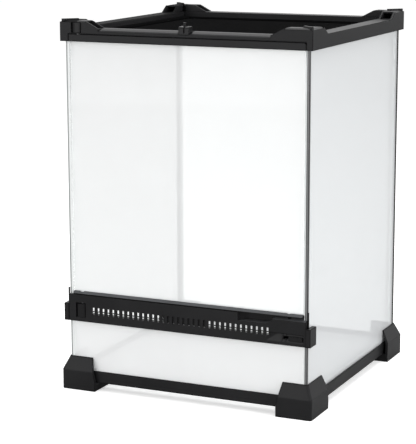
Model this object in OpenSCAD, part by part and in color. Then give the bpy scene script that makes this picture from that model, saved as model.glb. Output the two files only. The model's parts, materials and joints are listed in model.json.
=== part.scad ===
// Front-opening glass terrarium. A glass box stands in a moulded foot frame and is capped
// by a moulded top frame. A slotted vent bar crosses the front under a swinging glass door,
// a slide lock in the bar raises a bolt into the door, and a screen lid hinges at the rear.
// Millimetres, +Z up, +X to the right, +Y to the back, origin on the floor under the centre.

/* [Glass box] */
// Clear width and depth between the side panes
tank_clear = 203.2; // [190:0.1:240]
// Thickness of every pane
glass_t = 3; // [3:0.1:3.4]
// Overall height, from the floor to the stacking ridges
total_h = 304.8; // [280:0.1:420]
// Height of the top of the floor glass
floor_top = 17.4; // [17:0.1:19]

/* [Feet and foot frame] */
// How far the feet stand out past the glass
foot_out = 5.8; // [5:0.1:7]
// Height of a foot
foot_h = 27.4; // [25:0.1:32]
// Height at which a foot's outer wall starts to lean in
foot_break = 16.4; // [14:0.1:17]
// Length of a foot along the front
foot_len_x = 30.2; // [26:0.1:36]
// Length of a foot along the side
foot_len_y = 37.6; // [32:0.1:42]
// Height of the underside of the foot frame
base_low = 6.8; // [6:0.1:8]
// Height of the top edge of the foot frame
base_top = 16.4; // [15:0.1:17]

/* [Vent bar] */
// Height of the underside of the vent bar
bar_low = 58; // [50:0.1:80]
// Height of the vent bar's face
bar_h = 22.4; // [22:0.1:24]
// Number of vent slots
vent_count = 35; // [20:1:36]
// Distance between vent slots
vent_pitch = 4.52; // [4.2:0.01:4.6]
// Width of a vent slot
vent_w = 1.7; // [1.2:0.1:2.4]

/* [Top frame] */
// How far the top frame stands out past the glass
frame_out = 3.3; // [3:0.1:4]
// Height of the top frame's rails
rail_h = 10.5; // [10:0.1:11.5]
// Height of the corner blocks above the rails
block_h = 5.9; // [5:0.1:7]
// Flat length of a corner block along each rail
block_flat = 23; // [20:0.1:28]
// Width of a rail, seen from above
rail_w = 13.5; // [13:0.1:13.8]

/* [Moving parts] */
// Distance from the outside of the glass to the door's hinge axis
pivot_in = 11.3; // [11.2:0.1:12]
// Radius of both hinge pins
pin_r = 2; // [1.6:0.1:2]
// Travel of the lock's button
lock_travel = 6; // [5:0.1:6]
// Rise of the bolt for each millimetre of the button's travel
lock_slope = 0.75; // [0.7:0.01:0.75]
// Travel of the lid latch
latch_travel = 5; // [4:0.1:5]

/* [Hidden] */

$fn = 48;
plastic = [0.13, 0.13, 0.135];
clear_glass = [0.85, 0.93, 0.92, 0.35];
black_silicone = [0.07, 0.07, 0.07];
steel = [0.72, 0.73, 0.75];
mesh_black = [0.1, 0.1, 0.1];

eps = 0.01;
fit = 0.1;               // gap between a pane and the moulding that holds it
run = 0.06;              // radial clearance of a turning or sliding fit
wall = 1.6;              // wall of the mouldings where nothing else is said

// Plan sizes, each half of a square centred on the origin
glass_in = tank_clear / 2;
glass_out = glass_in + glass_t;
base_half = glass_out + 1.4;
foot_half = glass_out + foot_out;
foot_corner = 2;
frame_half = glass_out + frame_out;
lid_open = frame_half - rail_w;
block_in = lid_open + 1.5;           // inner faces of the corner blocks
seat_half = glass_in - 8.6;          // inner edge of the floor glass ledge

// Heights
pane_foot = base_low + 1.8;          // panes stand on the foot frame's floor
frame_top = total_h - 1.3 - block_h;
frame_low = frame_top - rail_h;
block_top = frame_top + block_h;
pane_top = frame_top - 4.6;
header_low = frame_top - 4.3;        // underside of the front rail, over the door
deck_low = frame_top - 2;
ledge_top = frame_top - 7.2;         // the lid rests here
ledge_low = ledge_top - 1.8;
bar_top = bar_low + bar_h;

// Front planes
front_y = -frame_half;
door_front = -glass_out;
door_back = door_front + glass_t;
pane_front = door_front;

// Door
door_gap = 0.4;
door_low = bar_top + door_gap;
strip_floor = 1.5;
glass_low = door_low + strip_floor;
rail_top = header_low - door_gap;
glass_high = frame_low + 2.2;
door_right = glass_in - 0.5;
pivot_x = -(glass_out - pivot_in);
barrel_half = 3.6;                    // half the width of the plugs that carry the pins
barrel_back = 4.1;                   // from the hinge axis to a plug's back and front
barrel_face_r = 9;
pivot_y = front_y + barrel_back;
stub_reach = glass_in + pivot_x;     // from the hinge axis to the left pane
door_left = -glass_in + 0.9;
rail_end_r = stub_reach - 0.3;

// Vent bar
bar_in = glass_in - 0.2;             // the bar's body reaches between the side panes
bar_end = glass_out - 0.4;
bar_wall = 2.2;
bar_back = front_y + 11.5;
beam_top = bar_low + 6;
pane_slot_top = bar_low + 2.6;
ledge_z = bar_top - 2.5;
ledge_x = glass_out - 27.9;
stop_y = door_back + 1.5;            // the door stops just in front of this rib
stop_top = bar_top + 1.8;
vent_low = bar_low + 6.6;
vent_high = bar_low + 12.6;
vent_first = -glass_out + 23.1;
vent_last = vent_first + (vent_count - 1) * vent_pitch;
vent_wall = 0.8;                     // the face is thinned where the slots are
rib_low = bar_low + 8.8;

// Finger scoop, with a flat floor that rises to the ledge and a left end that runs out
scoop_left = ledge_x - 29.7;
scoop_floor = bar_top - 6.6;
scoop_back = front_y + 7.4;
scoop_rise_run = 8.7;
scoop_end_run = 9;

// Lock
pocket_right = glass_out - 2.3;
pocket_left = pocket_right - 31;
pocket_low = bar_low + 2.5;
pocket_high = bar_low + 9.3;
pocket_deep = 2.4;                   // at the top; the floor runs out to the face below
pocket_ramp = 10.4;
floor_rib = 0.3;                     // rise of the ribs on the pocket's floor
button_right = glass_out - 3;
button_w = 11.7;
bolt_x = glass_out - 15.6;
bolt_y = (door_front + door_back) / 2;
bolt_r = 1.6;
bolt_low = bar_low + 8;
bolt_top = ledge_z - 0.3;
cam_z = bar_low + 10;                // height of the bolt's cross pin at rest
cam_r = 0.95;
cam_rise = lock_travel * lock_slope;
cam_front = bolt_y + 1.9;
cam_t = 1.6;
house_left = bolt_x - 13.5;
house_right = glass_in - 0.3;
house_back = front_y + 9;
cavity_left = house_left + 4;
cavity_right = bolt_x + 9;
cavity_low = bar_low + 3.6;
cavity_top = ledge_z - 2;
cover_t = 1.2;
screw_r = 0.9;
screw_depth = 4.5;

// Lid
lid_half = lid_open - 0.4;
lid_t = 3;
lid_border = 9;
lid_top = ledge_top + lid_t;
screen_half = lid_half - 6;
screen_t = 0.6;
screen_z = ledge_top + 1.2;
lid_pivot_y = lid_open - 2.4;
lid_pivot_z = ledge_top + lid_t / 2;
lid_pin_r = 1;

// Lid latch
latch_left = -3.5;
latch_w = 8.9;
latch_right = latch_left + latch_w;
latch_lip = 1.1;                     // flanges that hold it down in its channel
latch_gap = 0.1;
channel_z = frame_top - 2.2;
channel_stop = front_y + 1.6;        // the flanges meet the frame here
channel_end = -lid_open - 1.4;
latch_back = channel_end - 2 * latch_gap - latch_travel;

// ---------------------------------------------------------------- helpers

// A box between two opposite corners
module block(low, high) {
    translate(low) cube(high - low);
}

// A square ring centred on the origin, given by half widths
module ring(outer, inner, z0, z1) {
    difference() {
        block([-outer, -outer, z0], [outer, outer, z1]);
        block([-inner, -inner, z0 - 1], [inner, inner, z1 + 1]);
    }
}

// A (y, z) outline carried along X
module prism_x(points, x0, x1) {
    translate([x0, 0, 0]) rotate([90, 0, 90]) linear_extrude(x1 - x0) polygon(points);
}

// An (x, z) outline carried along Y
module prism_y(points, y0, y1) {
    translate([0, y1, 0]) rotate([90, 0, 0]) linear_extrude(y1 - y0) polygon(points);
}

// A cylinder along X
module rod_x(r, x0, x1, y, z) {
    translate([x0, y, z]) rotate([0, 90, 0]) cylinder(r = r, h = x1 - x0);
}

// A cylinder along Y
module rod_y(r, y0, y1, x, z) {
    translate([x, y1, z]) rotate([90, 0, 0]) cylinder(r = r, h = y1 - y0);
}

// An upright cylinder
module post(r, z0, z1, x, y) {
    translate([x, y, z0]) cylinder(r = r, h = z1 - z0);
}

// Points of an arc, angles in degrees
function arc(centre, r, a0, a1, steps = 6) =
    [for (i = [0 : steps]) let (a = a0 + (a1 - a0) * i / steps)
        [centre[0] + r * cos(a), centre[1] + r * sin(a)]];

// A shape made in the front left corner, taken to another corner
module at_corner(right, rear) {
    mirror([right ? 1 : 0, 0, 0]) mirror([0, rear ? 1 : 0, 0]) children();
}

// ---------------------------------------------------------------- foot frame and feet

module base_frame() color(plastic) {
    ring(base_half, glass_out + fit, base_low, base_top);
    ring(base_half, glass_in - fit - wall, base_low, pane_foot);
    ring(glass_in - fit, glass_in - fit - wall, base_low, floor_top - glass_t);
    ring(glass_in - fit, seat_half, floor_top - glass_t - 1.4, floor_top - glass_t);
    ring(seat_half + 1.4, seat_half, base_low, floor_top - glass_t);
}

// One quarter of a square slab with its outer corner rounded
module quarter_slab(half, r, z0, z1) {
    block([-half, -half + r, z0], [0, 0, z1]);
    block([-half + r, -half, z0], [0, 0, z1]);
    post(r, z0, z1, -half + r, -half + r, $fn = 32);
}

// The outer form of a foot, or its hollow when inset: upright, then leaning in
module foot_form(half, top_half, corner_r, low) {
    hull() {
        quarter_slab(half, corner_r, low, foot_break);
        quarter_slab(top_half, corner_r, foot_h - eps, foot_h);
    }
}

// Plan of the two wings, with ends that lean toward the corner
module foot_wings() {
    lean_x = 4;
    lean_y = 2.3;
    lean_from = 8.5;
    end_x = -foot_half + foot_len_x;
    end_y = -foot_half + foot_len_y;
    inner = glass_in - 2;
    prism_y([[-foot_half, 0], [end_x, 0], [end_x, lean_from],
             [end_x - lean_x, foot_h], [-foot_half, foot_h]], -foot_half, -inner);
    prism_x([[-foot_half, 0], [end_y, 0], [end_y, lean_from],
             [end_y - lean_y, foot_h], [-foot_half, foot_h]], -foot_half, -inner);
}

// The hollow box of a foot under the foot frame, with a rib under the panes
module foot_box(shell, sole) {
    end_x = -foot_half + foot_len_x;
    end_y = -foot_half + foot_len_y;
    difference() {
        intersection() {
            quarter_slab(foot_half, foot_corner, 0, base_low);
            block([-foot_half, -foot_half, 0], [end_x, end_y, base_low]);
        }
        block([-foot_half + shell, -foot_half + shell, sole],
              [end_x - shell, end_y - shell, base_low + 1]);
    }
    intersection() {
        ring(glass_out, glass_out - shell, 0, base_low);
        block([-foot_half, -foot_half, 0], [end_x, end_y, base_low]);
    }
}

module foot() color(plastic) {
    shell = 2.2;
    sole = 2.5;
    lip_half = glass_out + 1;
    intersection() {
        foot_wings();
        difference() {
            foot_form(foot_half, lip_half, foot_corner, 0);
            foot_form(foot_half - shell, glass_out + fit, 0.2, sole);
        }
    }
    foot_box(shell, sole);
}

// ---------------------------------------------------------------- glass and silicone

module floor_glass() color(clear_glass)
    block([-glass_in + fit, -glass_in + fit, floor_top - glass_t],
          [glass_in - fit, glass_in - fit, floor_top]);

module side_pane(x0) color(clear_glass)
    block([x0, -glass_out, pane_foot], [x0 + glass_t, glass_out, pane_top]);

module rear_pane() color(clear_glass)
    block([-glass_in, glass_in, pane_foot], [glass_in, glass_out, pane_top]);

module lower_front_pane() color(clear_glass)
    block([-glass_in, pane_front, pane_foot],
          [glass_in, pane_front + glass_t, pane_slot_top - 0.2]);

// A hollow-faced fillet in the front left inner corner
module corner_bead(size, z0, z1) {
    corner = -glass_in;
    difference() {
        block([corner, corner, z0], [corner + size, corner + size, z1]);
        post(size, z0 - 1, z1 + 1, corner + size, corner + size);
    }
}

module corner_beads() color(black_silicone) {
    size = 2.4;
    low = floor_top;
    for (right = [false, true]) {
        at_corner(right, true) corner_bead(size, low, ledge_low - 1);
        at_corner(right, false) corner_bead(size, low, bar_low);
    }
}

// A fillet round the floor glass, mitred by its own corners
module floor_bead() color(black_silicone) {
    size = 1.6;
    reach = glass_in - 2.4;
    for (turn = [0 : 3])
        rotate([0, 0, 90 * turn])
            difference() {
                block([-reach, -glass_in, floor_top],
                      [reach, -glass_in + size, floor_top + size]);
                rod_x(size, -glass_in, glass_in, -glass_in + size, floor_top + size);
            }
}

// ---------------------------------------------------------------- vent bar

module vent_slot(x) {
    block([x - vent_w / 2, front_y - 1, vent_low],
          [x + vent_w / 2, front_y + bar_wall + eps, vent_high]);
}

// Recess behind the slots, where the face is thin
module vent_recess() {
    side = 2.2;
    block([vent_first - side, front_y + vent_wall, vent_low - 0.5],
          [vent_last + side, front_y + bar_wall + eps, vent_high + 0.2]);
}

// Front wall, top wall and the beam that holds the lower pane
module bar_channel() {
    block([-bar_end, front_y, bar_low], [bar_end, front_y + bar_wall, bar_top]);
    block([-bar_end, front_y, bar_low], [bar_end, pane_front - fit, beam_top]);
    block([-bar_in, front_y, bar_low], [bar_in, door_back + fit + wall, beam_top]);
    block([-bar_in, front_y, bar_top - 2], [bar_in, bar_back, bar_top]);
    block([-bar_end, front_y, bar_top - 2], [bar_end, pane_front - fit, bar_top]);
}

// Cross rib behind the slots, and the stiffening pad at the middle
module bar_ribs() {
    behind = front_y + vent_wall;
    pad_half = 18.5;
    pad_low = vent_low + 0.5;
    block([vent_first - 2.4, behind, rib_low], [vent_last + 2.4, behind + 1.4, rib_low + 0.6]);
    block([-pad_half, behind, pad_low], [pad_half, behind + 2.4, vent_high + 1.5]);
}

// Rib that the door's bottom strip closes against
module door_stop() {
    back = stop_y + 1.2;
    block([pivot_x + 10, stop_y, bar_top - 1], [ledge_x + 1, back, stop_top]);
    block([ledge_x, stop_y, ledge_z - 1], [bar_in - 1, back, stop_top]);
}

module scoop_block() {
    block([scoop_left - 2, front_y, vent_high + 0.4], [ledge_x + 2, scoop_back + 2, bar_top]);
}

// Radius of an arc that leaves a line and is a given way off it after a given run
function arc_radius(way, off) = (way * way + off * off) / (2 * off);

module scoop_cut() {
    rise_r = arc_radius(scoop_rise_run, ledge_z - scoop_floor);
    end_r = arc_radius(scoop_end_run, scoop_back - front_y);
    front_view = concat(
        [[ledge_x + 1, ledge_z], [ledge_x + 1, bar_top + 1],
         [scoop_left - 1, bar_top + 1], [scoop_left - 1, scoop_floor]],
        arc([ledge_x - scoop_rise_run, scoop_floor + rise_r], rise_r,
            -90, asin(scoop_rise_run / rise_r) - 90, 10)
    );
    plan = concat(
        [[ledge_x + 2, scoop_back], [ledge_x + 2, front_y - 1], [scoop_left, front_y - 1]],
        arc([scoop_left + scoop_end_run, scoop_back - end_r], end_r,
            90 + asin(scoop_end_run / end_r), 90, 10)
    );
    intersection() {
        prism_y(front_view, front_y - 2, scoop_back + 1);
        translate([0, 0, scoop_floor - 1]) linear_extrude(bar_top + 3 - scoop_floor) polygon(plan);
    }
}

module hinge_boss() {
    half = barrel_half + 2.5;
    block([pivot_x - half, front_y, bar_low],
          [pivot_x + half, pivot_y + barrel_back + 1.4, bar_top]);
}

module hinge_pocket(z0, z1) {
    half = barrel_half + 0.8;
    block([pivot_x - half, front_y - 1, z0], [pivot_x + half, pivot_y + barrel_back + fit, z1]);
}

module lock_house() {
    block([house_left, front_y, bar_low + 2], [house_right, house_back, ledge_z]);
    block([house_left, front_y, cavity_top], [bar_end, pane_front - fit, ledge_z]);
    block([house_left, front_y, cavity_top], [bar_in, bar_back, ledge_z]);
}

// The ledge slopes up to the door stop
module ledge_slope() {
    top = bar_top - 0.4;
    depth = stop_y - front_y;
    shelf_y = pane_front - fit;
    shelf_top = ledge_z + (top - ledge_z) * (shelf_y - front_y) / depth;
    prism_x([[front_y, ledge_z - 1], [front_y, ledge_z], [stop_y, top], [stop_y, ledge_z - 1]],
            ledge_x, bar_in);
    prism_x([[front_y, ledge_z - 1], [front_y, ledge_z], [shelf_y, shelf_top],
             [shelf_y, ledge_z - 1]], bar_in - eps, bar_end);
}

// Round guide for the bolt, under the ledge
module bolt_guide() {
    guide_low = cam_z + cam_rise + cam_r + 0.2;
    block([bolt_x - 3, front_y + bar_wall, guide_low],
          [bolt_x + 3, bolt_y + bolt_r + 0.2, ledge_z]);
}

// (y, z) of the lock pocket's sloping floor, moved out toward the front
function pocket_slope(out) = [[front_y - out, pocket_low], [front_y + pocket_deep - out, pocket_high]];

// The button's pocket, deepest along its top, ramped on the left, with two ribs on its floor
module lock_pocket() {
    flat_x = pocket_left + pocket_ramp;
    deep_y = front_y + pocket_deep;
    high = pocket_high - pocket_low;
    difference() {
        intersection() {
            prism_x(concat(pocket_slope(0), [[front_y - 1, pocket_high], [front_y - 1, pocket_low]]),
                    pocket_left, pocket_right);
            translate([0, 0, pocket_low]) linear_extrude(high)
                polygon([[pocket_left, front_y], [flat_x, deep_y], [pocket_right, deep_y],
                         [pocket_right, front_y - 1], [pocket_left, front_y - 1]]);
        }
        for (x = [flat_x + 2.1, flat_x + 5.2])
            prism_x(concat(pocket_slope(floor_rib),
                           [[deep_y + 1, pocket_high], [deep_y + 1, pocket_low]]),
                    x, x + 0.9);
    }
}

stem_x0 = bolt_x + 2.5;
stem_x1 = bolt_x + 8;
stem_low = bar_low + 4.8;
stem_high = bar_low + 6.8;

module stem_slot() {
    block([stem_x0 - lock_travel - 0.3, front_y, stem_low - 0.2],
          [stem_x1 + 0.3, house_back, stem_high + 0.2]);
}

// Straight runs along Y at the two screws, from one plane to another
module lock_screw_rods(r, y0, y1) {
    for (x = [house_left + 2, cavity_right + 1.6])
        rod_y(r, y0, y1, x, bar_low + 11);
}

module vent_bar() color(plastic) {
    difference() {
        union() {
            difference() {
                union() {
                    bar_channel();
                    hinge_boss();
                    scoop_block();
                }
                scoop_cut();
                vent_recess();
                // open space over the ledge under the door's free corner
                block([ledge_x, front_y - 1, ledge_z], [bar_end + 1, bar_back + 1, bar_top + 5]);
                for (i = [0 : vent_count - 1])
                    vent_slot(vent_first + i * vent_pitch);
            }
            bar_ribs();
            door_stop();
            lock_house();
            ledge_slope();
        }
        // slot for the lower front pane
        block([-glass_in - 1, pane_front - fit, bar_low - 1],
              [glass_in + 1, door_back + fit, pane_slot_top]);
        hinge_pocket(bar_low + 3.3, bar_low + 15.5);
        post(pin_r + run, bar_low + 15, bar_top + 1, pivot_x, pivot_y);
        difference() {
            block([cavity_left, front_y + bar_wall + 1, cavity_low],
                  [cavity_right, house_back + 1, cavity_top]);
            bolt_guide();
        }
        post(bolt_r + run, cavity_low, bar_top + 1, bolt_x, bolt_y);
        lock_pocket();
        stem_slot();
        lock_screw_rods(screw_r, house_back - screw_depth, house_back + 1);
        // seat for the lock cover
        block([house_left - 0.1, house_back, bar_low + 1.9],
              [house_right + 0.1, bar_back + 1, cavity_top]);
    }
}

// Clip round the front edge of a side pane, at the left end of the bar
module bar_clip() color(plastic) {
    outer = glass_out + 3.7;
    clip_front = front_y - 0.5;
    clip_top = bar_low + 14.5;
    block([-outer, clip_front, bar_low], [-bar_end, pane_front - fit, clip_top]);
    block([-outer, clip_front, bar_low], [-glass_out - fit, front_y + 12.1, clip_top]);
    block([-glass_out - 1.2, pane_front - 1.1, clip_top],
          [-glass_out - fit, pane_front - fit, clip_top + 12.8]);
}

// ---------------------------------------------------------------- door hinges

// A plug with a rounded face, bored for a pin
module barrel(z0, z1, bore_z0, bore_z1) color(plastic)
    difference() {
        intersection() {
            block([pivot_x - barrel_half, front_y, z0],
                  [pivot_x + barrel_half, pivot_y + barrel_back, z1]);
            post(barrel_face_r, z0, z1, pivot_x, front_y + barrel_face_r, $fn = 96);
        }
        post(pin_r, bore_z0, bore_z1, pivot_x, pivot_y);
    }

module lower_hinge_barrel()
    barrel(bar_low + 3.3, bar_low + 14.7, bar_low + 9, bar_low + 16);

module upper_hinge_barrel()
    barrel(header_low + 0.8, block_top - 1.4, header_low, header_low + 5);

module lower_hinge_pin() color(steel)
    post(pin_r, bar_low + 9, glass_low - 0.2, pivot_x, pivot_y);

module upper_hinge_pin() color(steel)
    post(pin_r, glass_high + 0.4, header_low + 5, pivot_x, pivot_y);

// ---------------------------------------------------------------- top frame

block_roof = 1.6;

// Profile of a corner block along one rail: flat, a rounded shoulder, then a slope
function block_outline(slope_run) =
    let (
        lean = atan(block_h / slope_run),
        shoulder = 6,
        flat_end = -frame_half + block_flat
    )
    concat(
        [[-frame_half, deck_low], [-frame_half, block_top]],
        arc([flat_end - shoulder * tan(lean / 2), block_top - shoulder],
            shoulder, 90, 90 - lean),
        [[flat_end + slope_run, frame_top], [flat_end + slope_run, deck_low]]
    );

// The solid form of an L-shaped corner block
module block_form() {
    prism_y(block_outline(11.4), -frame_half, -block_in);
    prism_x(block_outline(9), -frame_half, -block_in);
}

// A shape made for one wing of a corner block, and again for the other wing
module both_wings() {
    children();
    mirror([1, -1, 0]) children();
}

// The hollow of one wing: under a roof at the corner, open where the walls slope down
module block_hollow() {
    near = -frame_half + 2;
    inner = -block_in - 1.5;
    roof_end = -frame_half + block_flat;
    open_end = roof_end + 12;
    block([near, near, frame_top], [open_end, inner, block_top - block_roof]);
    block([roof_end, near, frame_top], [open_end, inner, block_top + 1]);
}

// The bevel along the top edge of one wing
module block_bevel() {
    drop = 1.1;
    bevel_w = 2.4;
    prism_x([[-frame_half - 1, block_top - drop], [-frame_half, block_top - drop],
             [-frame_half + bevel_w, block_top], [-frame_half + bevel_w, block_top + 1],
             [-frame_half - 1, block_top + 1]],
            -frame_half - 1, -frame_half + block_flat);
}

// Upright slot where the inner walls of the two wings would meet
module corner_slot() {
    translate([-block_in, -block_in, 0]) rotate([0, 0, 45])
        block([-4, -1.4, frame_top], [2, 1.4, block_top - block_roof]);
}

// Diagonal ridge on which another tank can stand
module stacking_ridge() {
    ridge_w = 2.4;
    start = 1.3 * sqrt(2);
    end = (frame_half - block_in - 0.9) * sqrt(2);
    translate([-frame_half, -frame_half, 0]) rotate([0, 0, 45])
        block([start, -ridge_w / 2, block_top - 1.2], [end, ridge_w / 2, total_h]);
}

module corner_block() {
    difference() {
        block_form();
        both_wings() block_hollow();
        both_wings() block_bevel();
        corner_slot();
    }
    stacking_ridge();
}

// Everything that must be clear for the door's rail to sit in the front of the frame
module door_gate() {
    clear_r = rail_end_r + 0.3;
    block([pivot_x, front_y - 1, frame_low - 1],
          [door_right + 1.7, -lid_open - 1.5, header_low]);
    post(clear_r, frame_low - 1, header_low, pivot_x, pivot_y);
}

// The light bevel along the front rail
module front_bevel() {
    foot_x = frame_half - block_flat - 11.4;
    prism_x([[front_y - 1, frame_top - 2.2], [front_y, frame_top - 2.2],
             [front_y + 1.3, frame_top - 1.1], [front_y + 7.4, frame_top],
             [front_y + 7.4, frame_top + 1], [front_y - 1, frame_top + 1]],
            -foot_x, foot_x);
}

// T-shaped channel across the front rail for the lid latch
module latch_channel() {
    side = 0.2;
    block([latch_left - side, front_y - 1, channel_z],
          [latch_right + side, channel_end, frame_top + 1]);
    block([latch_left - latch_lip - side, channel_stop, channel_z],
          [latch_right + latch_lip + side, channel_end, channel_z + 1.4]);
}

module top_frame() color(plastic) {
    difference() {
        union() {
            ring(frame_half, lid_open, deck_low, frame_top);
            ring(frame_half, glass_out + fit, frame_low, frame_top - 1);
            ring(glass_in - fit, glass_in - fit - wall, ledge_low, frame_top - 1);
            ring(lid_open + 1.5, lid_open, ledge_low, frame_top - 1);
            ring(lid_open + 1.5, lid_open - 2.9, ledge_low, ledge_top);
            block([latch_left - 4, front_y, header_low],
                  [latch_right + 4, -lid_open, frame_top - 1]);
            for (right = [false, true], rear = [false, true])
                at_corner(right, rear) corner_block();
            block([pivot_x - barrel_half - 2.5, front_y, header_low],
                  [pivot_x + barrel_half + 2.5, -block_in, block_top - 1.1]);
        }
        door_gate();
        front_bevel();
        latch_channel();
        hinge_pocket(header_low + 0.8, block_top - 1.3);
        post(pin_r + run, header_low - 1, header_low + 1, pivot_x, pivot_y);
        rod_x(lid_pin_r + run, -lid_open - 2, lid_open + 2, lid_pivot_y, lid_pivot_z);
    }
}

// ---------------------------------------------------------------- door

module door_glass() color(clear_glass)
    block([door_left, door_front, glass_low], [door_right, door_back, glass_high]);

// What a door piece may fill without striking the left pane as the door swings
module door_reach(r, z0, z1) {
    post(r, z0, z1, pivot_x, pivot_y);
    block([pivot_x, front_y - 1, z0], [glass_out, 0, z1]);
}

module door_top_rail() color(plastic) {
    rail_back = front_y + 9.4;
    corner_r = 2;
    tip = door_right + 1.4;
    difference() {
        intersection() {
            union() {
                block([door_left, front_y, frame_low], [door_right, rail_back, rail_top]);
                block([0, front_y, frame_low], [tip, pane_front - 0.3, rail_top - corner_r]);
                block([0, front_y, frame_low], [tip - corner_r, pane_front - 0.3, rail_top]);
                rod_y(corner_r, front_y, pane_front - 0.3, tip - corner_r, rail_top - corner_r);
            }
            door_reach(rail_end_r, frame_low, rail_top);
        }
        block([door_left - 1, door_front, frame_low - 1], [door_right + eps, door_back, glass_high]);
        post(pin_r + run, glass_high, rail_top + 1, pivot_x, pivot_y);
    }
}

module door_bottom_strip() color(plastic) {
    outline = [[front_y, door_low], [front_y, door_low + 0.5],
               [door_front, glass_low + 0.7], [door_front, glass_low],
               [door_back, glass_low], [door_back, glass_low + 0.7],
               [door_back + 1.2, glass_low + 0.3], [door_back + 1.2, door_low]];
    difference() {
        intersection() {
            prism_x(outline, door_left, door_right);
            door_reach(stub_reach - 0.6, door_low, glass_low + 1);
        }
        post(pin_r + run, door_low - 1, glass_low + 1, pivot_x, pivot_y);
        // keeper hole for the lock's bolt
        post(bolt_r + 0.5, door_low - 1, glass_low + 1, bolt_x, bolt_y);
    }
}

// ---------------------------------------------------------------- lock

// A button with rounded corners, its back parallel to the pocket's sloping floor
module lock_button() {
    corner = 0.9;
    button_left = button_right - button_w;
    face = front_y - 0.4;
    low = pocket_low + 1.3;
    high = pocket_high - 2;
    back = pocket_slope(floor_rib + 0.2);
    intersection() {
        union() {
            block([button_left + corner, face, low], [button_right - corner, cam_front, high]);
            block([button_left, face, low + corner], [button_right, cam_front, high - corner]);
            for (x = [button_left + corner, button_right - corner],
                 z = [low + corner, high - corner])
                rod_y(corner, face, cam_front, x, z);
        }
        prism_x(concat([[face - 1, pocket_high], [face - 1, pocket_low]], back),
                button_left - 1, button_right + 1);
    }
}

// Button in front, stem through the slot, cam plate behind
module lock_slider() color(plastic) {
    plate_low = bar_low + 4.8;
    plate_high = cam_z + cam_rise + 3;
    plate_x0 = bolt_x - 2.6;
    plate_x1 = bolt_x + lock_travel + 2.4;
    lock_button();
    block([stem_x0, front_y, stem_low], [stem_x1, cam_front + eps, stem_high]);
    difference() {
        block([plate_x0, cam_front, plate_low], [plate_x1, cam_front + cam_t, plate_high]);
        cam_slot();
    }
}

// Sloping slot that lifts the cross pin as the button moves left
module cam_slot() {
    r = cam_r + run;
    lean = atan(lock_slope);
    length = norm([lock_travel, cam_rise]);
    translate([bolt_x, 0, cam_z]) rotate([0, -lean, 0]) {
        block([0, cam_front - 1, -r], [length, cam_front + cam_t + 1, r]);
        rod_y(r, cam_front - 1, cam_front + cam_t + 1, 0, 0);
        rod_y(r, cam_front - 1, cam_front + cam_t + 1, length, 0);
    }
}

module lock_bolt() color(steel) {
    post(bolt_r, bolt_low, bolt_top, bolt_x, bolt_y);
    rod_y(cam_r, bolt_y, cam_front + cam_t - 0.2, bolt_x, cam_z);
}

module lock_cover() color(plastic)
    difference() {
        block([house_left, house_back, bar_low + 2], [house_right, house_back + cover_t, ledge_z - 2.2]);
        lock_screw_rods(screw_r, house_back - 1, house_back + cover_t + 1);
    }

module lock_cover_screws() color(steel) {
    head_y = house_back + cover_t;
    lock_screw_rods(screw_r, house_back - screw_depth, head_y + eps);
    lock_screw_rods(1.6, head_y, head_y + 1);
}

// ---------------------------------------------------------------- lid and latch

module lid_frame() color(plastic) {
    tab_y = -lid_half;
    inner = lid_half - lid_border;
    difference() {
        union() {
            block([-lid_half, -lid_half, ledge_top], [lid_half, lid_pivot_y, lid_top]);
            rod_x(lid_t / 2 - 0.1, -lid_half, lid_half, lid_pivot_y, lid_pivot_z);
            // raised tab under the latch
            block([latch_left - 2.6, tab_y, lid_top - eps],
                  [latch_right + 2.6, tab_y + 4.4, frame_top - 0.3]);
        }
        block([-inner, -inner, ledge_top - 1], [inner, inner, lid_top + 1]);
        block([-screen_half, -screen_half, screen_z], [screen_half, screen_half, lid_top + 1]);
        for (side = [-1, 1])
            translate([side * lid_half, 0, 0])
                rod_x(lid_pin_r, -5, 5, lid_pivot_y, lid_pivot_z);
    }
}

// A coarse grid in the place of the woven wire
module lid_screen() color(mesh_black) {
    cells = 12;
    strand = 3;
    pitch = (2 * screen_half - strand) / cells;
    difference() {
        block([-screen_half, -screen_half, screen_z],
              [screen_half, screen_half, screen_z + screen_t]);
        for (i = [0 : cells - 1], j = [0 : cells - 1])
            translate([-screen_half + strand + i * pitch, -screen_half + strand + j * pitch,
                       screen_z - 1])
                cube([pitch - strand, pitch - strand, screen_t + 2]);
    }
}

module screen_retainer() color(plastic)
    ring(screen_half - fit, screen_half - 2.6, screen_z + screen_t, lid_top - 0.2);

module lid_hinge_pins() color(steel)
    for (side = [-1, 1])
        translate([side * (lid_half - 1.55), 0, 0])
            rod_x(lid_pin_r, -3.4, 3.4, lid_pivot_y, lid_pivot_z);

module lid_latch() color(plastic) {
    foot_z = channel_z + latch_gap;
    flange_top = foot_z + 1.1;
    nose = front_y + 0.3;
    crown = frame_top + 4.2;
    gap_left = latch_left + 4.4;
    gap_right = gap_left + 0.8;
    dish_x = (gap_right + latch_right) / 2;
    tongue_low = frame_top + 0.2;
    outline = [[nose, foot_z], [nose, crown - 1.6], [nose + 0.5, crown - 0.7],
               [nose + 1.4, crown - 0.3], [latch_back, crown], [latch_back, foot_z]];
    block([latch_left - latch_lip, channel_stop + latch_gap, foot_z],
          [latch_right + latch_lip, latch_back, flange_top]);
    difference() {
        prism_x(outline, latch_left, latch_right);
        // gap between the two finger lobes
        block([gap_left, nose - 1, flange_top], [gap_right, latch_back + 0.2, crown + 1]);
        // dished top of the right lobe
        translate([dish_x, nose + 2.6, crown + 2.2]) sphere(r = 3, $fn = 32);
    }
    // tongue that slides over the lid's tab
    block([latch_left + 1.5, latch_back - eps, tongue_low],
          [latch_left + 5.8, -lid_open - 0.3, tongue_low + 1.6]);
    // finger peg behind the left lobe
    post(1.1, tongue_low + 0.5, crown + 2.7, gap_left - 2.1, latch_back + 0.2);
}

// ---------------------------------------------------------------- the parts

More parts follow.
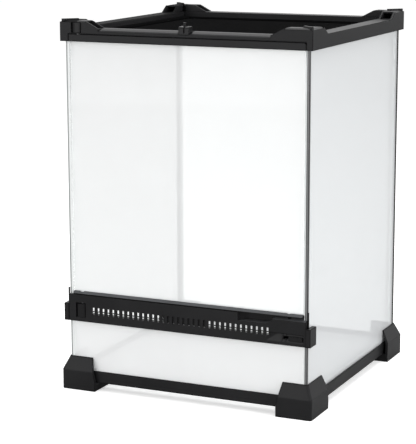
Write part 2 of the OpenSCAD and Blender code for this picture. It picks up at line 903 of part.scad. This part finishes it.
base_frame();
at_corner(false, false) foot();  // front_left_foot
at_corner(true, false) foot();  // front_right_foot
at_corner(false, true) foot();  // rear_left_foot
at_corner(true, true) foot();  // rear_right_foot
floor_glass();
side_pane(-glass_out);  // left_pane
side_pane(glass_in);  // right_pane
rear_pane();
lower_front_pane();
corner_beads();
floor_bead();
vent_bar();
bar_clip();  // left_bar_clip
at_corner(true, false) bar_clip();  // right_bar_clip
lower_hinge_barrel();
lower_hinge_pin();
top_frame();
upper_hinge_barrel();
upper_hinge_pin();
lock_cover();
lock_cover_screws();
door_glass();
door_top_rail();
door_bottom_strip();
lock_slider();
lock_bolt();
lid_frame();
lid_screen();
screen_retainer();
lid_hinge_pins();
lid_latch();
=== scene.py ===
# Looks of the front-opening glass terrarium: finishes, glass panes, woven screen, light and
# camera. Metres, +Z up, the same frame as the solids.
import json
import math

import bmesh
import bpy
from mathutils import Matrix, Vector


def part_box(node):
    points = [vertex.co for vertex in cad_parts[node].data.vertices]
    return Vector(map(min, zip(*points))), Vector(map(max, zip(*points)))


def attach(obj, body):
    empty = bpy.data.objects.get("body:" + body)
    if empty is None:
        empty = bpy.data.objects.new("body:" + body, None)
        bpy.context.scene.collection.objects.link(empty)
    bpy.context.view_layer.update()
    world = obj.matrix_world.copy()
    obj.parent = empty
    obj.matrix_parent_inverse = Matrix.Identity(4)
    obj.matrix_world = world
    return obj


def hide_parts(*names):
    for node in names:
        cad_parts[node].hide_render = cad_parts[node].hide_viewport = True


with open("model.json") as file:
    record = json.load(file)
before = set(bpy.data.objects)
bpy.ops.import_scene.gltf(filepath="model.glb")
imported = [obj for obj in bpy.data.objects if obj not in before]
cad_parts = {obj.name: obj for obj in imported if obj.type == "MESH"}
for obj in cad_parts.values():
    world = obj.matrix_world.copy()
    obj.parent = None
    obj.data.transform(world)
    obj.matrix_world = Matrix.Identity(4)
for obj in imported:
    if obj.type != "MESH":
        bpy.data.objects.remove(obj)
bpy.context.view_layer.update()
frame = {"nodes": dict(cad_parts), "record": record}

MM = 0.001

# The side panes' inner and outer faces, as half widths of the glass box
SIDE_IN = 101.6 * MM
PANE_T = 3.0 * MM
SIDE_OUT = SIDE_IN + PANE_T
OUTER_SKIN = SIDE_OUT - 0.2 * MM     # only a side pane's outer face lies beyond this

# Most values of a noise lie between these
NOISE_LOW = 0.3
NOISE_HIGH = 0.7
MOTTLED = 0.8                        # darkest tone of a mottled surface, as a share of its palest

# Noise scales, in waves per metre
CLOUDS = 24.0                        # uneven shine of a moulding
SPARKS = 1500.0                      # spark-eroded grain of a moulding
SMEARS = 9.0                         # wiped glass
STREAKS = 60.0                       # ground glass edge, along its length
GRINDING = 900.0                     # ground glass edge, fine grit
RIPPLES = 180.0                      # tooled silicone
SCRATCHES = 2200.0                   # drawn steel
COATING = 1800.0                     # powder coat on wire
FLOOR_CLOUDS = 3.0


def grey(value):
    return (value, value, value)


def darker(tone, share=MOTTLED):
    """The tone with each of its three values cut to a share."""
    return tuple(value * share for value in tone)


# ---------------------------------------------------------------- node helpers

class Nodes:
    """Short calls for building one node tree."""

    def __init__(self, tree):
        self.tree = tree

    def add(self, kind, **values):
        node = self.tree.nodes.new(kind)
        for name, value in values.items():
            setattr(node, name, value)
        return node

    def link(self, source, target):
        self.tree.links.new(source, target)

    def feed(self, value, target):
        """Sets a plain number on a socket, or links another node's output to it."""
        if isinstance(value, (int, float)):
            target.default_value = value
        else:
            self.link(value, target)

    def coords(self):
        return self.add("ShaderNodeTexCoord").outputs["Object"]

    def axes(self, vector):
        """The X, Y and Z outputs of a vector."""
        node = self.add("ShaderNodeSeparateXYZ")
        self.link(vector, node.inputs["Vector"])
        return node.outputs

    def noise(self, coords, scale, detail=4.0):
        node = self.add("ShaderNodeTexNoise")
        node.inputs["Scale"].default_value = scale
        node.inputs["Detail"].default_value = detail
        self.link(coords, node.inputs["Vector"])
        return node.outputs["Fac"]

    def ramp(self, factor, stops):
        """A colour ramp through stops, each a place from 0 to 1 and its colour."""
        node = self.add("ShaderNodeValToRGB")
        elements = node.color_ramp.elements
        while len(elements) < len(stops):
            elements.new(0.5)
        for element, (place, colour) in zip(elements, stops):
            element.position = place
            element.color = (*colour, 1.0)
        self.link(factor, node.inputs["Fac"])
        return node.outputs["Color"]

    def tones(self, noise, dark, light, start=NOISE_LOW, end=NOISE_HIGH):
        """Colours from dark to light as a noise goes from start to end."""
        return self.ramp(noise, [(start, dark), (end, light)])

    def spread(self, factor, low, high, start=0.0, end=1.0):
        """A factor from start to end mapped onto low to high."""
        node = self.add("ShaderNodeMapRange")
        node.inputs["From Min"].default_value = start
        node.inputs["From Max"].default_value = end
        node.inputs["To Min"].default_value = low
        node.inputs["To Max"].default_value = high
        self.link(factor, node.inputs["Value"])
        return node.outputs["Result"]

    def math(self, operation, first, second=0.0):
        node = self.add("ShaderNodeMath", operation=operation)
        self.feed(first, node.inputs[0])
        self.feed(second, node.inputs[1])
        return node.outputs[0]

    def bump(self, height, strength, distance, normal=None):
        node = self.add("ShaderNodeBump")
        node.inputs["Strength"].default_value = strength
        node.inputs["Distance"].default_value = distance
        self.link(height, node.inputs["Height"])
        if normal:
            self.link(normal, node.inputs["Normal"])
        return node.outputs["Normal"]

    def diffuse(self):
        return self.add("ShaderNodeBsdfDiffuse")

    def mix(self, factor, under, over):
        """One shader laid over another by a factor, which is a number or an output."""
        node = self.add("ShaderNodeMixShader")
        self.feed(factor, node.inputs["Fac"])
        self.link(under, node.inputs[1])
        self.link(over, node.inputs[2])
        return node.outputs["Shader"]


def new_material(name):
    """An empty material with its node helper and output node."""
    material = bpy.data.materials.new(name)
    material.use_nodes = True
    material.node_tree.nodes.clear()
    nodes = Nodes(material.node_tree)
    return material, nodes, nodes.add("ShaderNodeOutputMaterial")


# ---------------------------------------------------------------- moulded plastic

# Painted shade on rounded edges, by the cosine between their rounded and flat normals
CORNER_PAINTED_SHADE = [(0.82, grey(0.75)), (0.95, grey(0.0))]
# Painted shade in gaps and recesses, by how open a place is within its reach
GAP_REACH = 1.8 * MM
GAP_PAINTED_SHADE = [(0.32, grey(1.0)), (0.60, grey(0.0))]
# colour of the painted shade
PAINTED_SHADE_COLOUR = (*grey(0.002), 1.0)
CLOUD_SHARE = 0.7                    # of the mottled colour, the rest is the spark texture's
LOOKS_UP = 0.4                       # a face looks up where its normal's Z is above this
TOP_SHADE_SHARE = 0.7                           # how black the painted shade on an upper face is


def painted_sheen_tops(nodes, colour, cloud, upward, tone):
    """The colour, but a paler painted sheen on the faces that look up, where light catches them.
    """
    sheen_mix = nodes.add("ShaderNodeMix", data_type="RGBA")
    nodes.link(upward, sheen_mix.inputs["Factor"])
    nodes.link(colour, sheen_mix.inputs["A"])
    nodes.link(nodes.tones(cloud, darker(tone), tone), sheen_mix.inputs["B"])
    return sheen_mix.outputs["Result"]


def painted_shade_places(nodes, rounded, flat):
    """How much painted shade blackens sharp corners, narrow gaps and deep recesses, which hold
    little light.
    """
    turn = nodes.add("ShaderNodeVectorMath", operation="DOT_PRODUCT")
    nodes.link(rounded, turn.inputs[0])
    nodes.link(flat, turn.inputs[1])
    corner = nodes.ramp(turn.outputs["Value"], CORNER_PAINTED_SHADE)
    open_sky = nodes.add("ShaderNodeAmbientOcclusion", samples=6)
    open_sky.inputs["Distance"].default_value = GAP_REACH
    gap = nodes.ramp(open_sky.outputs["AO"], GAP_PAINTED_SHADE)
    return nodes.math("MAXIMUM", corner, gap)


def moulded_plastic(name, dark, light, roughness, grain, gloss, rounding=0.6 * MM,
                    sheen_top_tone=None, shade_tops_until=None):
    """Black moulded plastic: fine spark texture, faint cloudiness, painted shade in corners and
    gaps.

    roughness is its lowest and highest value. The tone for the tops paints a sheen on the faces
    that look up; the last argument is the X up to which those faces get painted shade.
    """
    material, nodes, output = new_material(name)
    shader = nodes.add("ShaderNodeBsdfPrincipled")
    place = nodes.coords()
    cloud = nodes.noise(place, CLOUDS, detail=5.0)
    spark = nodes.noise(place, SPARKS, detail=2.0)
    flat = nodes.add("ShaderNodeNewGeometry").outputs["Normal"]
    upward = nodes.math("GREATER_THAN", nodes.axes(flat)["Z"], LOOKS_UP)
    edge = nodes.add("ShaderNodeBevel", samples=4)
    edge.inputs["Radius"].default_value = rounding
    rounded = edge.outputs["Normal"]

    mottle = nodes.math("ADD", nodes.math("MULTIPLY", cloud, CLOUD_SHARE),
                        nodes.math("MULTIPLY", spark, 1.0 - CLOUD_SHARE))
    colour = nodes.tones(mottle, dark, light, end=0.72)
    # painted sheen on the faces that look up
    if sheen_top_tone:
        colour = painted_sheen_tops(nodes, colour, cloud, upward, sheen_top_tone)
    nodes.link(colour, shader.inputs["Base Color"])
    nodes.link(nodes.spread(cloud, *roughness), shader.inputs["Roughness"])
    shader.inputs["IOR"].default_value = 1.49
    shader.inputs["Specular IOR Level"].default_value = gloss
    nodes.link(nodes.bump(spark, grain, distance=0.06 * MM, normal=rounded),
               shader.inputs["Normal"])

    # black is the share of painted shade laid over the plastic
    black = painted_shade_places(nodes, rounded, flat)
    # painted shade on the faces that look up, left of the given X
    if shade_tops_until is not None:
        left = nodes.math("LESS_THAN", nodes.axes(place)["X"], shade_tops_until)
        shaded_tops = nodes.math("MULTIPLY", upward, left)
        black = nodes.math("MAXIMUM", black, nodes.math("MULTIPLY", shaded_tops, TOP_SHADE_SHARE))
    # a black diffuse that paints the shade
    shade = nodes.diffuse()
    shade.inputs["Color"].default_value = PAINTED_SHADE_COLOUR
    nodes.link(nodes.mix(black, shader.outputs["BSDF"], shade.outputs["BSDF"]),
               output.inputs["Surface"])
    return material


# One plastic for the frame, the top frame and the vent bar, whose corners differ
FRAME_LOOK = {
    "dark": (0.012, 0.012, 0.0127),
    "light": (0.018, 0.018, 0.0190),
    "roughness": (0.32, 0.42),
    "grain": 0.22,
}
frame_black = moulded_plastic("frame_black_plastic", gloss=0.12, rounding=1.5 * MM,
                              **FRAME_LOOK)
# The top frame's upper faces at its left get painted shade
top_black = moulded_plastic("top_frame_plastic", gloss=0.11, rounding=1.2 * MM,
                            shade_tops_until=-93.0 * MM, **FRAME_LOOK)
# The vent bar and the door strip get a painted sheen on their upper faces
bar_black = moulded_plastic("bar_black_plastic", gloss=0.12, rounding=0.7 * MM,
                            sheen_top_tone=(0.085, 0.087, 0.092), **FRAME_LOOK)
fitting_black = moulded_plastic("fitting_black_plastic", dark=(0.008, 0.008, 0.0085),
                                light=(0.013, 0.013, 0.0137), roughness=(0.26, 0.36),
                                grain=0.15, gloss=0.16)
lid_black = moulded_plastic("lid_matte_black", dark=(0.004, 0.004, 0.0042),
                            light=(0.007, 0.007, 0.0072), roughness=(0.6, 0.75),
                            grain=0.3, gloss=0.0)


# ---------------------------------------------------------------- glass

SHEEN = 0.45                         # share of the full reflection that a pane shows
WHITE_TONE = (0.965, 0.968, 0.972)
# a greyer copy of the veil tone: painted shade on the right pane
SHADED_SIDE_TONE = (0.82, 0.83, 0.845)
CLEAR_TINT = (0.985, 0.992, 0.990, 1.0)


def end_band(axis, end, width, tone):
    """A dark band from a pane's end inwards: its axis, start and end there, and tone."""
    inner = end - math.copysign(width, end)
    return axis, min(end, inner), max(end, inner), tone


# The black joints and ledges that are seen behind the glass
REAR_LEDGE = end_band("Y", SIDE_IN, width=16.6 * MM, tone=0.01)
LEFT_LEDGE = end_band("X", -SIDE_IN, width=7.6 * MM, tone=0.10)
LEFT_REAR_JOINT = end_band("Y", SIDE_OUT, width=6.6 * MM, tone=0.03)
RIGHT_REAR_JOINT = end_band("Y", SIDE_OUT, width=4.3 * MM, tone=0.03)
RIGHT_FRONT_JOINT = end_band("Y", -SIDE_OUT, width=1.8 * MM, tone=0.19)


def lay_bands(nodes, face, place, smear, bands, outer_only):
    """The face with its dark bands laid over it."""
    axes = nodes.axes(place)
    for axis, start, end, tone in bands:
        band = nodes.math("MULTIPLY", nodes.math("GREATER_THAN", axes[axis], start),
                          nodes.math("LESS_THAN", axes[axis], end))
        if outer_only:
            outer = nodes.math("GREATER_THAN", nodes.math("ABSOLUTE", axes["X"]), OUTER_SKIN)
            band = nodes.math("MULTIPLY", band, outer)
        bond = nodes.diffuse()
        nodes.link(nodes.tones(smear, darker(grey(tone)), grey(tone)), bond.inputs["Color"])
        face = nodes.mix(band, face, bond.outputs["BSDF"])
    return face


def polish(nodes, face, smear):
    """The face under a thin reflection that grows towards a glancing view."""
    sheen = nodes.add("ShaderNodeBsdfGlossy")
    nodes.link(nodes.spread(smear, 0.01, 0.05), sheen.inputs["Roughness"])
    fresnel = nodes.add("ShaderNodeFresnel")
    fresnel.inputs["IOR"].default_value = 1.45
    strength = nodes.math("MULTIPLY", fresnel.outputs["Fac"], SHEEN)
    return nodes.mix(strength, face, sheen.outputs["BSDF"])


def window_glass(name, painted_veil, tone=WHITE_TONE, bands=(), outer_only=False):
    """A clear pane under a painted white veil, which stands in for the studio light in the glass.

    The bands are dark, where black moulding or silicone lies behind the glass. Bands on the
    outer face only leave the face towards the tank clear.
    """
    material, nodes, output = new_material(name)
    place = nodes.coords()
    smear = nodes.noise(place, SMEARS, detail=3.0)
    clear = nodes.add("ShaderNodeBsdfTransparent")
    clear.inputs["Color"].default_value = CLEAR_TINT
    # the veil is a lit white diffuse that paints the studio's light into the pane
    veil = nodes.diffuse()
    nodes.link(nodes.tones(smear, darker(tone, share=0.985), tone, start=0.2, end=0.8),
               veil.inputs["Color"])
    face = nodes.mix(painted_veil, clear.outputs["BSDF"], veil.outputs["BSDF"])
    if bands:
        face = lay_bands(nodes, face, place, smear, bands, outer_only)
    face = polish(nodes, face, smear)
    # light passes on into the tank
    path = nodes.add("ShaderNodeLightPath")
    nodes.link(nodes.mix(path.outputs["Is Shadow Ray"], face, clear.outputs["BSDF"]),
               output.inputs["Surface"])
    return material


def glass_edge(name, left, right, stops):
    """Ground edge of a pane, with tones of painted shade and light that change across it from
    left to right.
    """
    material, nodes, output = new_material(name)
    shader = nodes.add("ShaderNodeBsdfPrincipled")
    place = nodes.coords()
    share = nodes.spread(nodes.axes(place)["X"], 0.0, 1.0, start=left, end=right)
    streak = nodes.noise(place, STREAKS)
    uneven = nodes.add("ShaderNodeMix", data_type="RGBA", blend_type="MULTIPLY")
    uneven.inputs["Factor"].default_value = 0.35
    nodes.link(nodes.ramp(share, stops), uneven.inputs["A"])
    nodes.link(nodes.tones(streak, (0.8, 0.84, 0.83), grey(1.0)), uneven.inputs["B"])
    nodes.link(uneven.outputs["Result"], shader.inputs["Base Color"])
    nodes.link(nodes.spread(streak, 0.18, 0.35), shader.inputs["Roughness"])
    shader.inputs["IOR"].default_value = 1.5
    shader.inputs["Specular IOR Level"].default_value = 0.25
    grit = nodes.noise(place, GRINDING)
    nodes.link(nodes.bump(grit, strength=0.1, distance=0.03 * MM), shader.inputs["Normal"])
    nodes.link(shader.outputs["BSDF"], output.inputs["Surface"])
    return material


# The share of painted veil is set pane by pane: little on the rear and left panes, where the
# white background shows through, and most on the low front pane, to whiten the floor behind it
front_glass = window_glass("clear_float_glass", painted_veil=0.53)
back_glass = window_glass("rear_float_glass", painted_veil=0.03)
low_glass = window_glass("low_front_float_glass", painted_veil=0.65)
floor_clear = window_glass("floor_float_glass", painted_veil=0.55, bands=(REAR_LEDGE, LEFT_LEDGE))
left_glass = window_glass("left_float_glass", painted_veil=0.03, bands=(LEFT_REAR_JOINT,),
                          outer_only=True)
right_glass = window_glass("right_float_glass", painted_veil=0.50, tone=SHADED_SIDE_TONE,
                           bands=(RIGHT_REAR_JOINT, RIGHT_FRONT_JOINT), outer_only=True)

# Tones across a side pane's edge, by the share of its thickness from its left face. These
# tones are painted shade and light. The left pane's edge is grey outside and pale inside, and
# panes between the side panes take its last, pale tone. The right pane's edge goes from pale to
# black, with a grey line.
PALE_STOPS = [(0.0, (0.36, 0.37, 0.37)), (0.4, (0.34, 0.35, 0.35)),
              (0.5, (0.90, 0.92, 0.92)), (1.0, (0.93, 0.95, 0.95))]
SHADED_EDGE_STOPS = [(0.0, (0.90, 0.92, 0.92)), (0.16, (0.80, 0.81, 0.81)),
                (0.26, grey(0.10)), (0.45, grey(0.10)),
                (0.56, (0.24, 0.24, 0.245)), (0.68, (0.24, 0.24, 0.245)),
                (0.78, (0.045, 0.045, 0.046)), (1.0, (0.045, 0.045, 0.046))]
pale_edge = glass_edge("pale_ground_edge", -SIDE_OUT, -SIDE_IN, PALE_STOPS)
dark_edge = glass_edge("shaded_ground_edge", SIDE_IN, SIDE_OUT, SHADED_EDGE_STOPS)


# ---------------------------------------------------------------- silicone and metal

def sealant():
    """Clear silicone: milky, with a slightly uneven tooled surface."""
    material, nodes, output = new_material("clear_silicone")
    ripple = nodes.noise(nodes.coords(), RIPPLES, detail=3.0)
    milk = nodes.diffuse()
    nodes.link(nodes.tones(ripple, (0.86, 0.88, 0.88), (0.92, 0.93, 0.93)),
               milk.inputs["Color"])
    nodes.link(nodes.bump(ripple, strength=0.3, distance=0.15 * MM), milk.inputs["Normal"])
    clear = nodes.add("ShaderNodeBsdfTransparent")
    cloudiness = nodes.spread(ripple, 0.04, 0.1)
    nodes.link(nodes.mix(cloudiness, clear.outputs["BSDF"], milk.outputs["BSDF"]),
               output.inputs["Surface"])
    return material


def pin_metal():
    """Drawn steel: bright, with fine scratches."""
    material, nodes, output = new_material("drawn_steel")
    shader = nodes.add("ShaderNodeBsdfPrincipled")
    scratch = nodes.noise(nodes.coords(), SCRATCHES, detail=2.0)
    nodes.link(nodes.tones(scratch, (0.50, 0.50, 0.51), (0.66, 0.66, 0.67)),
               shader.inputs["Base Color"])
    shader.inputs["Metallic"].default_value = 1.0
    nodes.link(nodes.spread(scratch, 0.22, 0.38), shader.inputs["Roughness"])
    nodes.link(shader.outputs["BSDF"], output.inputs["Surface"])
    return material


def wire_paint():
    """Black powder-coated wire."""
    material, nodes, output = new_material("coated_wire")
    shader = nodes.add("ShaderNodeBsdfPrincipled")
    speck = nodes.noise(nodes.coords(), COATING, detail=2.0)
    nodes.link(nodes.tones(speck, (0.006, 0.006, 0.0062), (0.012, 0.012, 0.0122)),
               shader.inputs["Base Color"])
    shader.inputs["Specular IOR Level"].default_value = 0.0
    nodes.link(nodes.spread(speck, 0.35, 0.55), shader.inputs["Roughness"])
    nodes.link(shader.outputs["BSDF"], output.inputs["Surface"])
    return material


wire_black = wire_paint()


# ---------------------------------------------------------------- finishes of the CAD nodes

SLOT_FINISHES = {
    "frame_plastic": frame_black,
    "fitting_plastic": fitting_black,
    "silicone": sealant(),
    "pin_steel": pin_metal(),
    "screen_wire": wire_black,
}
NODE_FINISHES = {
    "top_frame": top_black,
    "vent_bar": bar_black,
    "door_bottom_strip": bar_black,
    "lid_frame": lid_black,
    "screen_retainer": lid_black,
}


def dress_nodes():
    """Gives each CAD node its own finish, or else its slot's. The panes are made below."""
    for entry in frame["record"]["subparts"]:
        slot_finish = SLOT_FINISHES.get(entry["material_slot"])
        finish = NODE_FINISHES.get(entry["node"], slot_finish)
        if not finish:
            continue
        mesh = frame["nodes"][entry["node"]].data
        mesh.materials.clear()
        mesh.materials.append(finish)


dress_nodes()


# ---------------------------------------------------------------- panes

EDGE_BEVEL = 0.25 * MM


def add_piece(name, data, node, body):
    """A new object that rides on a body in place of a CAD node."""
    piece = bpy.data.objects.new(name, data)
    bpy.context.scene.collection.objects.link(piece)
    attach(piece, body)
    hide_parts(node)


def pane(node, body, glass, edge):
    """A pane with ground, slightly bevelled edges, in place of the plain CAD slab."""
    low, high = (Vector(corner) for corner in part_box(node))
    size = high - low
    thin = min(range(3), key=lambda i: size[i])
    work = bmesh.new()
    bmesh.ops.create_cube(work, size=1.0, matrix=Matrix.Translation((low + high) / 2)
                          @ Matrix.Diagonal((*size, 1.0)))
    bmesh.ops.bevel(work, geom=work.edges[:], offset=EDGE_BEVEL, segments=2, profile=0.5,
                    affect="EDGES")
    mesh = bpy.data.meshes.new(node + "_clear")
    mesh.materials.append(glass)
    mesh.materials.append(edge)
    for face in work.faces:
        broad = abs(face.normal[thin]) > 0.99
        face.material_index = 0 if broad else 1
    work.to_mesh(mesh)
    work.free()
    add_piece(node + "_clear", mesh, node, body)


pane("floor_glass", "tank", floor_clear, pale_edge)
pane("left_pane", "tank", left_glass, pale_edge)
pane("right_pane", "tank", right_glass, dark_edge)
pane("rear_pane", "tank", back_glass, pale_edge)
pane("lower_front_pane", "tank", low_glass, pale_edge)
pane("door_glass", "door", front_glass, pale_edge)


# ---------------------------------------------------------------- screen

def woven_screen():
    """Plain-weave wire mesh in place of the coarse grid: wires pass over and under."""
    low, high = (Vector(corner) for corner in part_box("lid_screen"))
    pitch = 1.8 * MM
    radius = 0.17 * MM
    wave = 0.13 * MM
    inset = 0.3 * MM
    middle = (low.z + high.z) / 2
    curve = bpy.data.curves.new("lid_screen_wires", "CURVE")
    curve.dimensions = "3D"
    curve.bevel_depth = radius
    curve.bevel_resolution = 0
    curve.resolution_u = 1
    curve.materials.append(wire_black)
    start = (low.x + inset, low.y + inset)
    span = (high.x - low.x - 2 * inset, high.y - low.y - 2 * inset)
    count = [int(length / pitch) for length in span]
    step = [length / number for length, number in zip(span, count)]
    for along in (0, 1):
        across = 1 - along
        for i in range(count[across] + 1):
            spline = curve.splines.new("POLY")
            spline.points.add(count[along])
            for j in range(count[along] + 1):
                over = 1 if (i + j + along) % 2 else -1
                point = [0.0, 0.0, middle + over * wave, 1.0]
                point[along] = start[along] + j * step[along]
                point[across] = start[across] + i * step[across]
                spline.points[j].co = point
    add_piece("lid_screen_wires", curve, "lid_screen", "lid")


woven_screen()


# ---------------------------------------------------------------- floor, light and camera

FLOOR_HALF = 6.0
FLOOR_BOUNCE = 0.45                  # tone of the floor for the light it throws back
FLOOR_GLOW = 0.48                    # fills the floor up to white for the eye
WORLD_LIGHT = 0.56                   # strength of the light from all round
LAMP_TARGET = (0.0, 0.0, 0.15)


def white_floor():
    """A white floor that keeps the object's shadow and shows white to the camera."""
    material, nodes, output = new_material("white_floor")
    path = nodes.add("ShaderNodeLightPath")
    seen = nodes.math("MAXIMUM", path.outputs["Is Camera Ray"],
                      path.outputs["Is Transmission Ray"])
    cloud = nodes.noise(nodes.coords(), FLOOR_CLOUDS)
    colour = nodes.add("ShaderNodeMix", data_type="RGBA")
    colour.inputs["A"].default_value = (*grey(FLOOR_BOUNCE), 1.0)
    nodes.link(seen, colour.inputs["Factor"])
    nodes.link(nodes.tones(cloud, grey(0.93), grey(0.95)), colour.inputs["B"])
    shade = nodes.diffuse()
    nodes.link(colour.outputs["Result"], shade.inputs["Color"])
    glow = nodes.add("ShaderNodeEmission")
    nodes.link(nodes.math("MULTIPLY", seen, FLOOR_GLOW), glow.inputs["Strength"])
    both = nodes.add("ShaderNodeAddShader")
    nodes.link(shade.outputs["BSDF"], both.inputs[0])
    nodes.link(glow.outputs["Emission"], both.inputs[1])
    nodes.link(both.outputs["Shader"], output.inputs["Surface"])
    return material


def make_floor():
    mesh = bpy.data.meshes.new("floor")
    corners = [(-FLOOR_HALF, -FLOOR_HALF, 0), (FLOOR_HALF, -FLOOR_HALF, 0),
               (FLOOR_HALF, FLOOR_HALF, 0), (-FLOOR_HALF, FLOOR_HALF, 0)]
    mesh.from_pydata(corners, [], [(0, 1, 2, 3)])
    mesh.materials.append(white_floor())
    floor = bpy.data.objects.new("floor", mesh)
    bpy.context.scene.collection.objects.link(floor)


def background(nodes, strength):
    """White light of the world at a strength."""
    node = nodes.add("ShaderNodeBackground")
    node.inputs["Color"].default_value = (1.0, 1.0, 1.0, 1.0)
    node.inputs["Strength"].default_value = strength
    return node.outputs["Background"]


def make_world():
    """Soft even light, and plain white wherever the camera or a reflection looks."""
    world = bpy.data.worlds.new("studio")
    bpy.context.scene.world = world
    world.use_nodes = True
    world.node_tree.nodes.clear()
    nodes = Nodes(world.node_tree)
    output = nodes.add("ShaderNodeOutputWorld")
    path = nodes.add("ShaderNodeLightPath")
    seen = nodes.math("MAXIMUM", path.outputs["Is Camera Ray"],
                      nodes.math("MAXIMUM", path.outputs["Is Glossy Ray"],
                                 path.outputs["Is Transmission Ray"]))
    nodes.link(nodes.mix(seen, background(nodes, WORLD_LIGHT), background(nodes, 1.0)),
               output.inputs["Surface"])


def soft_box(name, place, size, power):
    """An area light that looks at the tank's middle: metres and watts."""
    light = bpy.data.lights.new(name, "AREA")
    light.shape = "RECTANGLE"
    light.size = size[0]
    light.size_y = size[1]
    light.energy = power
    lamp = bpy.data.objects.new(name, light)
    lamp.location = place
    view = Vector(LAMP_TARGET) - Vector(place)
    lamp.rotation_euler = view.to_track_quat("-Z", "Y").to_euler()
    bpy.context.scene.collection.objects.link(lamp)


def make_lights():
    soft_box("key_softbox", (-0.6, -1.7, 0.5), size=(1.6, 1.0), power=13.3)
    soft_box("side_softbox", (1.6, -0.3, 0.5), size=(0.9, 1.0), power=14.0)
    soft_box("top_softbox", (0.1, 0.3, 1.7), size=(1.6, 1.4), power=18.0)


def make_camera():
    """The camera that matches the photograph's viewpoint."""
    place = (0.560150, -1.280204, 0.406559)
    azimuth = 0.430682
    elevation = 0.196049
    roll = -0.0022957
    focal_px = 1682.44
    long_side_px = 444.0
    camera = bpy.data.cameras.new("camera")
    camera.sensor_width = 36.0
    camera.sensor_fit = "AUTO"
    camera.lens = focal_px * camera.sensor_width / long_side_px
    camera.clip_start = 0.05
    camera.clip_end = 50.0
    viewer = bpy.data.objects.new("camera", camera)
    bpy.context.scene.collection.objects.link(viewer)
    turn = (Matrix.Rotation(azimuth, 4, "Z")
            @ Matrix.Rotation(math.pi / 2 - elevation, 4, "X")
            @ Matrix.Rotation(roll, 4, "Z"))
    viewer.matrix_world = Matrix.Translation(place) @ turn
    bpy.context.scene.camera = viewer


make_floor()
make_world()
make_lights()
make_camera()
bpy.context.scene.view_settings.view_transform = "Standard"
